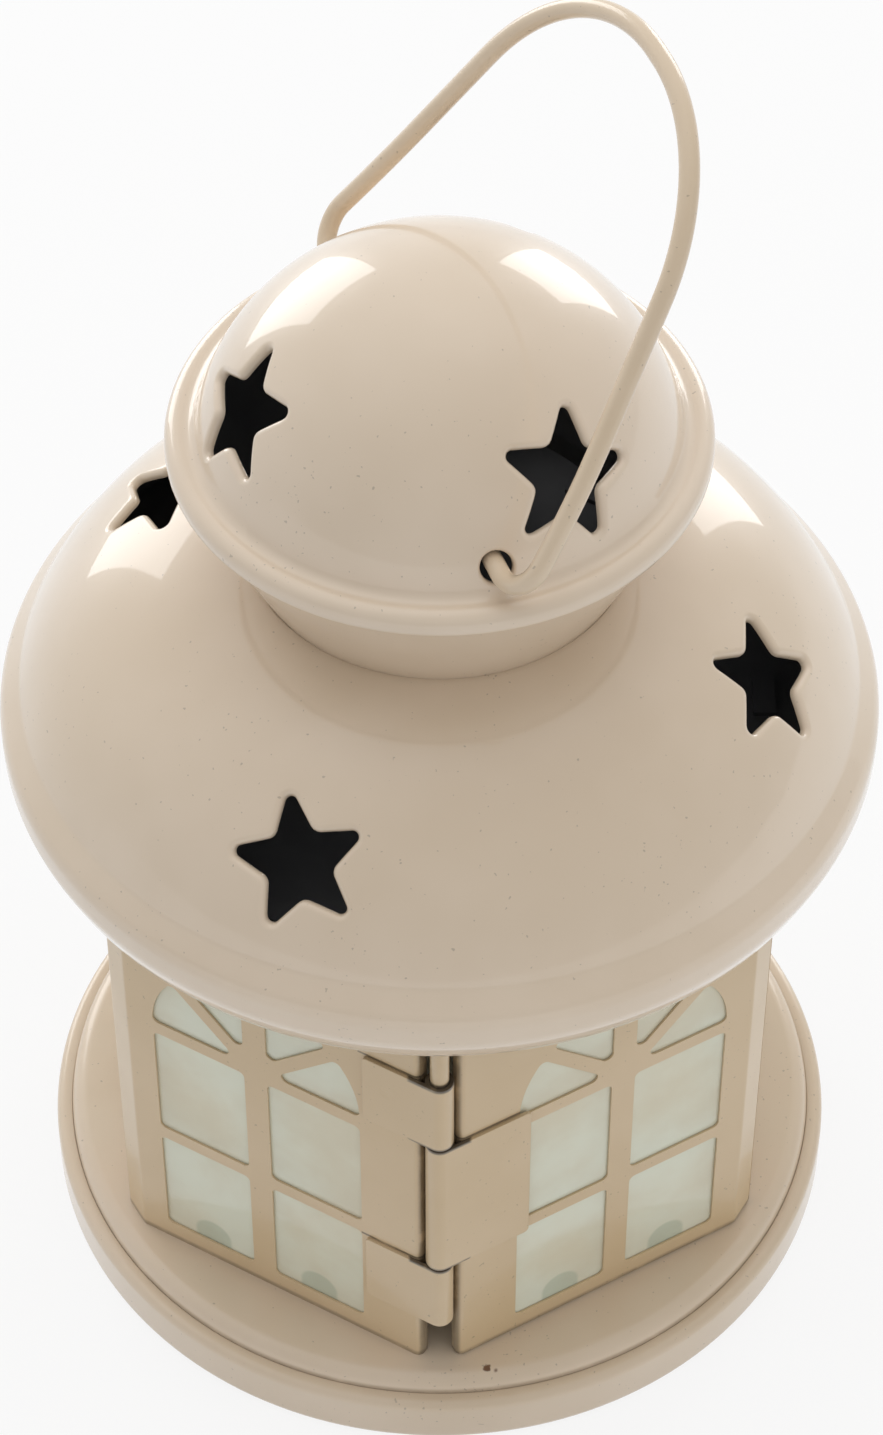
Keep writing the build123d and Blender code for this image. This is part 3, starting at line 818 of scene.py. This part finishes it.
def window_rim(section, place, taken, azimuths, distances):
    """The grid points round a window, in order round the hole's middle: those with some, but not
    all, of their four cells in the window. Gives their numbers in the grid, and how far they lie
    from the middle in azimuth and in distance."""
    columns = len(azimuths)
    taken = np.pad(taken, ((1, 1), (0, 0))).astype(int)
    stacked = taken[:-1] + taken[1:]
    touching = stacked + np.roll(stacked, 1, 1)
    rim = np.flatnonzero((touching > 0) & (touching < 4))
    side = wrapped(azimuths[rim % columns] - place.azimuth)
    level = distances[rim // columns] - place.distance
    order = np.argsort(np.arctan2(level, side * section.at(place.distance)[0]))
    return rim[order], side[order], level[order]


def lip_picks(rim_angle, edge_angle):
    """For each point of a rim the point of the lip that lies in the same direction from the hole's
    middle, drawn a little towards even spacing round the lip."""
    first = np.argmin(np.abs(wrapped(edge_angle - rim_angle[0])))
    ahead = np.unwrap(np.roll(edge_angle, -first))
    ahead = np.maximum.accumulate(ahead - ahead[0])
    by_angle = np.interp(rim_angle - rim_angle[0], ahead, np.arange(LOOP_COUNT))
    by_count = np.arange(len(rim_angle)) * LOOP_COUNT / len(rim_angle)
    mixed = EVEN_SHARE * by_count + (1 - EVEN_SHARE) * by_angle
    return (first + mixed.astype(int)) % LOOP_COUNT


def hole_rings(section, dome, hole, place, rim, side, level, count):
    """Rings of points from a window's rim to the lip, crowded towards the lip, then a quarter turn
    round the lip and straight into the sheet, and the faces between them. The new points are
    numbered on from count."""
    radius = section.at(place.distance)[0]
    outline, outward = hole.loop(LOOP_COUNT)
    edge_azimuth, edge_level = dome.drop(outline + outward * hole.lip, *hole.frame)
    edge_side = wrapped(edge_azimuth - place.azimuth)
    edge_angle = np.arctan2(edge_level - place.distance, edge_side * radius)
    pick = lip_picks(np.arctan2(level, side * radius), edge_angle)
    edge_side, edge_level = edge_side[pick], edge_level[pick]
    start = section.spin(place.azimuth + edge_side, edge_level)
    inward = unit(section.spin(*dome.drop(outline[pick], *hole.frame)) - start)
    normal = section.normal(place.azimuth + edge_side, edge_level)
    share = np.linspace(1, 0, RING_COUNT + 1)[1:-1, None] ** RING_CROWD
    rings = section.spin(place.azimuth + edge_side + share * (side - edge_side),
                         edge_level + share * (place.distance + level - edge_level))
    bend = np.radians(LIP_BEND)[:, None, None]
    lip = start + hole.lip * (inward * np.sin(bend) - normal * (1 - np.cos(bend)))
    layers = np.concatenate([rings, lip, lip[-1:] - normal * LIP_DEPTH])
    added = count + np.arange(len(layers) * len(rim)).reshape(-1, len(rim))
    index = np.concatenate([rim[None, :], added])
    outer, inner = index[:-1], index[1:]
    quads = np.stack([inner, outer, np.roll(outer, -1, 1), np.roll(inner, -1, 1)], -1)
    return layers.reshape(-1, 3), quads.reshape(-1, 4)


def punched_sheet(name, section, dome, holes, finish, node, fine=0.55, coarse=1.8, edge=0.1):
    """A spun sheet with holes: the grid of azimuths and distances without the cells of the holes'
    windows, and the rings of points that fill them. Its inner side takes the near-black inside
    finish, as painted shade."""
    places = [hole_place(dome, hole) for hole in holes]
    azimuths, distances = grid_lines(section, places, fine, coarse)
    cells = hole_cells(places, azimuths, distances)
    points = section.spin(azimuths[None, :], distances[:, None]).reshape(-1, 3)
    faces = grid_faces(len(distances), len(azimuths), True)[cells.reshape(-1) == 0]
    for number, (hole, place) in enumerate(zip(holes, places), 1):
        rim = window_rim(section, place, cells == number, azimuths, distances)
        layers, quads = hole_rings(section, dome, hole, place, *rim, len(points))
        points = np.concatenate([points, layers])
        faces = np.concatenate([faces, quads])
    piece(name, points, faces, "lantern", finish, node, SHEET, edge, inside_shade)


# %% [markdown]
# ## Roof
# The roof is one deep pressing. From its lower edge the sheet curls out, bulges over the rim,
# creases, and then sweeps up as a dome to the hole for the neck. One section with four bends gives
# all of that. Four stars are punched in it, each at its own azimuth, distance from the axis and
# turn, because the real ones are not evenly set.

# %% Roof
roof_rim = [(59.0, 91.9), (60.28, 95.2), (60.28, 99.8)]
roof_arc = [(57.3, 103.2), (47.9, 123.9), (25.55, 127.6)]
roof_round = widest_round(*roof_arc, 0.97)
roof_section = Section(roof_rim + roof_arc, [6.0, 4.0, 3.0, roof_round])
roof_dome = dome_of(roof_section, *roof_arc, roof_round)
roof_stars = [(-21.7, 49.5, -23.5), (69.2, 46.6, -24.5), (158, 47.5, -24), (248.8, 40.4, -7.5)]
roof_holes = [star_hole(roof_dome, *star) for star in roof_stars]
punched_sheet("domed_roof", roof_section, roof_dome, roof_holes, paint, "roof")

# %% [markdown]
# ## Neck and cap
# The neck is a plain cone that widens upwards. The cap on it is a small dome with a rolled brim,
# three stars, and two round holes for the ends of the handle. The neck is spun as the base is and
# the cap is punched as the roof is, so both reuse those helpers.

# %% Neck and cap
BAIL_AZIMUTH, BAIL_OFFSET, BAIL_PIVOT = 21.0, -4.0, 152.4
HOLE_RADIUS, HOLE_LIP, HOLE_MARGIN, HOLE_REACH = 2.1, 0.45, 0.5, 30.5


def bail_hole(side):
    """A round hole for one end of the handle, bored along the handle's axis from a point near the
    dome."""
    axis, across = facing(BAIL_AZIMUTH)
    origin = across * BAIL_OFFSET + axis * side * HOLE_REACH + UP * BAIL_PIVOT
    return Hole((origin, across * side, UP, axis * side), HOLE_LIP, HOLE_MARGIN,
                lambda count: round_loop(count, HOLE_RADIUS))


neck_section = Section([(25.5, 124.4), (25.5, 127.7), (34.3, 146.53), (34.3, 147.53)], [1.2, 1.2])
# The neck's inner side takes the near-black inside finish, as painted shade.
spun_sheet("neck_cone", neck_section, paint, "neck_collar", inside_shade)

cap_brim = [(35.55, 146.4), (35.55, 149.45)]
cap_arc = [(31.8, 148.77), (24.3, 172.5), (0, 172.5)]
cap_round = widest_round(*cap_arc, 0.947)
cap_section = Section(cap_brim + cap_arc, [1.9, 1.6, cap_round])
cap_dome = dome_of(cap_section, *cap_arc, cap_round)
cap_stars = [(37.7, 26.6, 25.4), (163, 26.3, 35), (-71.1, 27, 46.5)]
cap_holes = [star_hole(cap_dome, *star) for star in cap_stars] + [bail_hole(1), bail_hole(-1)]
# A share below zero makes the cap's cream paler than the plain one, as painted light.
cap_paint = cream_paint("cream_enamel_cap", -0.12)
punched_sheet("domed_cap", cap_section, cap_dome, cap_holes, cap_paint, "cap")

# %% [markdown]
# ## Bail handle
# The handle is one wire, bent by hand, so its two legs have bends of their own. Its line lies in a
# plane that leans to the right, and a circle is carried along it: at each point one arm of the
# circle lies in the plane and the other across it. A bevelled curve could do the same, but here
# the rings stay even and close in a half ball at each end.

# %% Bail handle
WIRE = 1.3
BAIL_LEAN = 34.0
END_ROUND, FOOT_ROUND = 2.4, 5.0
KNEE_SHARE, SHOULDER_SHARE = 0.5, 0.96
near_leg = [(25.0, -4.2), (25.0, 0), (37.6, 0), (34.3, 16.0), (19.8, 58.2)]
far_leg = [(25.0, -4.2), (25.0, 0), (36.5, 0), (31.9, 16.0), (22.0, 58.2)]


def leg_rounds(leg):
    """Bending radii of one half of the handle, from its end to its shoulder. The knee's arc takes
    half of the run to the foot, the shoulder's arc nearly all of the run to the middle."""
    _, _, foot, knee, shoulder = leg
    knee_round = widest_round(foot, knee, shoulder, KNEE_SHARE)
    top_round = widest_round(knee, shoulder, (0, shoulder[1]), SHOULDER_SHARE)
    return [END_ROUND, FOOT_ROUND, knee_round, top_round]


def wire_tube(line, origin, along_axis, up_lean, radius, around=24, rings=420):
    """A round wire along a plane line, in rings of points at even distances. A point of a ring is
    the ring's middle plus radius x cos(angle) in the plane and radius x sin(angle) across it. At
    each end the rings shrink to a point over a half ball."""
    line = without_doubles(line, 1e-6)
    along = distances_along(line)
    flat = points_along(line, along, np.linspace(0, along[-1], rings))
    tangent = unit(np.gradient(flat, axis=0))
    ball = np.radians(np.linspace(90, 0, 7)[:-1])[:, None]
    head = flat[0] - tangent[0] * radius * np.sin(ball)
    tail = flat[-1] + tangent[-1] * radius * np.sin(ball[::-1])
    centre = np.concatenate([head, flat, tail])
    shrunk = radius * np.cos(ball[:, 0])
    size = np.r_[shrunk, np.full(rings, radius), shrunk[::-1]][:, None]
    tangent = np.pad(tangent, ((len(ball), len(ball)), (0, 0)), "edge")
    aside = np.stack([-tangent[:, 1], tangent[:, 0]], -1)
    angle = np.linspace(0, FULL_TURN, around, endpoint=False)
    plane = centre[:, None, :] + (size * np.cos(angle))[..., None] * aside[:, None, :]
    lift = (size * np.sin(angle))[..., None] * np.cross(along_axis, up_lean)
    points = origin + plane[..., :1] * along_axis + plane[..., 1:] * up_lean + lift
    return points.reshape(-1, 3), grid_faces(len(centre), around, True)[:, ::-1]


bail_points = near_leg + [(-x, y) for x, y in reversed(far_leg)]
bail_rounds = leg_rounds(near_leg) + leg_rounds(far_leg)[::-1]
bail_line = rounded_line(bail_points, bail_rounds, 2.0)
bail_axis, bail_side = facing(BAIL_AZIMUTH)
lean = math.radians(BAIL_LEAN)
bail_up = bail_side * math.sin(lean) + UP * math.cos(lean)
bail_origin = bail_side * BAIL_OFFSET + UP * BAIL_PIVOT
tube_points, tube_faces = wire_tube(bail_line, bail_origin, bail_axis, bail_up, WIRE)
# The wire takes a share of the cream in shade, as painted shade.
wire_paint = cream_paint("cream_enamel_wire", 0.30, peel=0.015, coat=0.6)
piece("wire_bail", tube_points, tube_faces, "bail", wire_paint, "bail_handle")

# %% [markdown]
# ## Panes
# Each pane is a thin sheet of plain glass. Its faces are not quite flat, so the reflections in
# it waver: the surface is a plane plus a shallow wave, a sine across times a cosine upwards. A
# wave in the mesh also shows where the finish is left out.

# %% Panes
APOTHEM, TIN, GLASS, PANE_GAP, SINK = 46.0, 0.7, 1.6, 0.05, 0.38
PANE_W, PANE_LOW, PANE_HIGH = 36.7, 13.2, 81.75
PANE_PLAY, PANE_EDGE = 0.06, 0.2
PANE_ROWS, PANE_COLUMNS = 45, 25
WAVE, WAVE_ACROSS, WAVE_UP = 0.02, 5.1, 9.3
panes = {"door_pane": (30, 2.8), "pane_front_left": (-30, -2.8), "pane_right": (90, 0),
         "pane_rear_right": (150, 0), "pane_rear_left": (210, 0), "pane_left": (270, 0)}


def mesh_points(mesh):
    """The points of a mesh as an array with a row for each."""
    spots = np.empty(3 * len(mesh.vertices))
    mesh.vertices.foreach_get("co", spots)
    return spots.reshape(-1, 3)


def pane_points(azimuth, shift):
    """Points on the outer face of a pane: a distance out from the axis, which wavers, a distance
    along the panel, and a height."""
    out, along = facing(azimuth)
    u = np.linspace(-PANE_W / 2, PANE_W / 2, PANE_COLUMNS)[None, :]
    v = np.linspace(PANE_LOW, PANE_HIGH, PANE_ROWS)[:, None]
    wave = WAVE * np.sin(u / WAVE_ACROSS + azimuth) * np.cos(v / WAVE_UP) - WAVE
    inset = APOTHEM - TIN + SINK - PANE_GAP + wave
    points = inset[..., None] * out + (u + shift + 0 * v)[..., None] * along
    return (points + (v + 0 * u)[..., None] * UP).reshape(-1, 3)


for name, (azimuth, shift) in panes.items():
    body = "door" if name == "door_pane" else "lantern"
    made = piece(name.replace("pane", "glass"), pane_points(azimuth, shift),
                 grid_faces(PANE_ROWS, PANE_COLUMNS, False), body, glass, name,
                 GLASS + SINK - PANE_PLAY, PANE_EDGE)
    spots = mesh_points(made.data) / MM
    aside = spots @ facing(azimuth)[1] - shift
    end = np.minimum(spots[:, 2] - PANE_LOW, PANE_HIGH - spots[:, 2])
    place = np.stack([aside, end, 0 * end], -1)
    stored = made.data.attributes.new("pane_place", "FLOAT_VECTOR", "POINT")
    stored.data.foreach_set("vector", place.reshape(-1))

# %% [markdown]
# ## Paint of the folded sheets
# Boxes in the paint darken it as painted shade: round the hinge pin, along the upper edges of the
# leaves and the knuckles, and at the foot of the walls. The wall, the door and the hinge take the
# cream in shade, which is also painted shade. The leaves were spot welded, which shows as shallow
# dimples, too small to be worth modelling.

# %% Paint of the folded sheets
PIN_Y = -51.56
# Painted shade in the gap round the hinge pin, and at the foot of the walls.
pin_gap_shade = ((0, PIN_Y, 50), (2.5, 4, 45), 0.7, 0.60)
wall_foot_shade = ((0, 0, 10.9), (70, 70, 0.7), 0.9, 0.45)
# Painted shadow along the upper edges of the leaves and the knuckles.
wall_leaf_shade = [((-6.5, -50, z), (4.4, 6, 0.12), 0.18, 0.75) for z in (77.2, 35.5)]
door_leaf_shade = [((6.5, -50, 63.5), (5.4, 6, 0.12), 0.18, 0.75)]
barrel_shade = [((0, PIN_Y, z), (4, 4, 0.25), 0.5, 0.9) for z in (35.4, 63.4, 77.0)]
welds = [(-7.2, -49.7, 71.5), (-6.6, -50.0, 29.6), (8.6, -49.0, 56.5), (8.6, -49.0, 43.5)]
wall_shade = [pin_gap_shade, wall_foot_shade, *wall_leaf_shade]
door_shade = [pin_gap_shade, wall_foot_shade, *door_leaf_shade]
# A share of 1 is the cream in shade throughout: painted shade.
wall_paint = cream_paint("cream_enamel_wall", 1.0, shade_boxes=wall_shade, coat=0.2)
door_paint = cream_paint("cream_enamel_door", 1.0, shade_boxes=door_shade, coat=0.2)
hinge_paint = cream_paint("cream_enamel_hinge", 0.95, shade_boxes=barrel_shade, dimples=welds, coat=0.3)
print("paints", wall_paint.name, door_paint.name, hinge_paint.name)

# %% [markdown]
# ## Folded sheets and hinge
# The wall, the door and the hinge leaves take their form from the frame. A copy of each mesh is
# merged, the lines between its flat triangles go, and a fine bevel rounds the cut edges, as thick
# paint does on the real tin. The head of the wall, under the roof, takes the near-black inside
# finish, as painted shade.

# %% Folded sheets and hinge
SLOT_FILL = 0.19
PANEL_AZIMUTHS = range(30, 390, 60)
# The first height is where the wall's painted shade under the roof begins.
SHADE_LINE, WALL_HEAD, TAB_FOOT = 95.5, 95.0, 95.9
ON_FACE = 0.01
CUT_BEND, SHEET_BEVEL, LEAF_BEVEL = 40, 0.12, 0.18


def merged_copy(node, name, cut=None):
    """A copy of a frame piece's mesh with its points merged and its flat faces joined. It is cut
    through at a height in millimetres where one is given."""
    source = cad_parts[node]
    work = bmesh.new()
    work.from_mesh(source.data)
    work.transform(source.matrix_world)
    bmesh.ops.remove_doubles(work, verts=work.verts, dist=2e-6)
    flat = math.radians(0.5)
    bmesh.ops.dissolve_limit(work, angle_limit=flat, verts=work.verts, edges=work.edges)
    if cut:
        everything = [*work.verts, *work.edges, *work.faces]
        bmesh.ops.bisect_plane(work, geom=everything, plane_co=UP * cut * MM, plane_no=UP)
    mesh = bpy.data.meshes.new(name)
    work.to_mesh(mesh)
    work.free()
    return mesh


def fit_sheet(mesh):
    """Moves the inner faces of the six panels out, so that the glass lies close behind the bars,
    and the outer faces of the tabs at the head, so that the tabs fill their slots, as paint does.
    A point is on a face where its distance out from the axis is the face's."""
    spots = mesh_points(mesh)
    for azimuth in PANEL_AZIMUTHS:
        out = facing(azimuth)[0]
        inner = np.abs(spots @ out - (APOTHEM - TIN) * MM) < ON_FACE * MM
        outer = np.abs(spots @ out - APOTHEM * MM) < ON_FACE * MM
        spots[inner & (spots[:, 2] < WALL_HEAD * MM)] += SINK * MM * out
        spots[outer & (spots[:, 2] > TAB_FOOT * MM)] += SLOT_FILL * MM * out
    mesh.vertices.foreach_set("co", spots.reshape(-1))


def softened(node, name, body, finish, width, panel=False, shade_above=None):
    """A piece from a copy of a frame piece's mesh: cut edges are bevelled by a width in millimetres
    and shaded so that flat faces stay flat. A panel is fitted to its glass. Faces above a height in
    millimetres take the near-black inside finish, as painted shade."""
    mesh = merged_copy(node, name, shade_above)
    if panel:
        fit_sheet(mesh)
    if "custom_normal" in mesh.attributes:
        mesh.attributes.remove(mesh.attributes["custom_normal"])
    mesh.polygons.foreach_set("use_smooth", np.ones(len(mesh.polygons), bool))
    mesh.materials.append(finish)
    if shade_above:
        mesh.materials.append(inside_shade)
        middle = np.empty(3 * len(mesh.polygons))
        mesh.polygons.foreach_get("center", middle)
        is_shaded = middle[2::3] > shade_above * MM
        mesh.polygons.foreach_set("material_index", is_shaded.astype(int))
    made = into_scene(name, mesh)
    bevel(made, width, CUT_BEND)
    made.modifiers.new("flat_faces", "WEIGHTED_NORMAL")
    settle(made, body, node)


softened("wall_sheet", "folded_wall", "lantern", wall_paint, SHEET_BEVEL, True, SHADE_LINE)
softened("door_panel", "folded_door", "door", door_paint, SHEET_BEVEL, True)
softened("hinge_leaf_lower", "lower_leaf", "lantern", hinge_paint, LEAF_BEVEL)
softened("hinge_leaf_upper", "upper_leaf", "lantern", hinge_paint, LEAF_BEVEL)
softened("door_hinge_leaf", "door_leaf", "door", hinge_paint, LEAF_BEVEL)

# %% [markdown]
# ## Small parts from the frame
# The pin, the clips, the catch, the cup and the plate under the roof are the frame's own solids.
# Their shapes are right as they are, so they only get a finish.

# %% Small parts from the frame
# The plate under the roof takes the near-black inside finish, as painted shade.
finishes = {"hinge_pin": hinge_paint, "pane_clips": paint, "door_clips": paint, "door_catch": tin,
            "candle_cup": tin, "cup_rivet": tin, "top_plate": inside_shade}
for name, finish in finishes.items():
    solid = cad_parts[name]
    solid.data.materials.clear()
    solid.data.materials.append(finish)
print(len(finishes), "frame pieces painted")
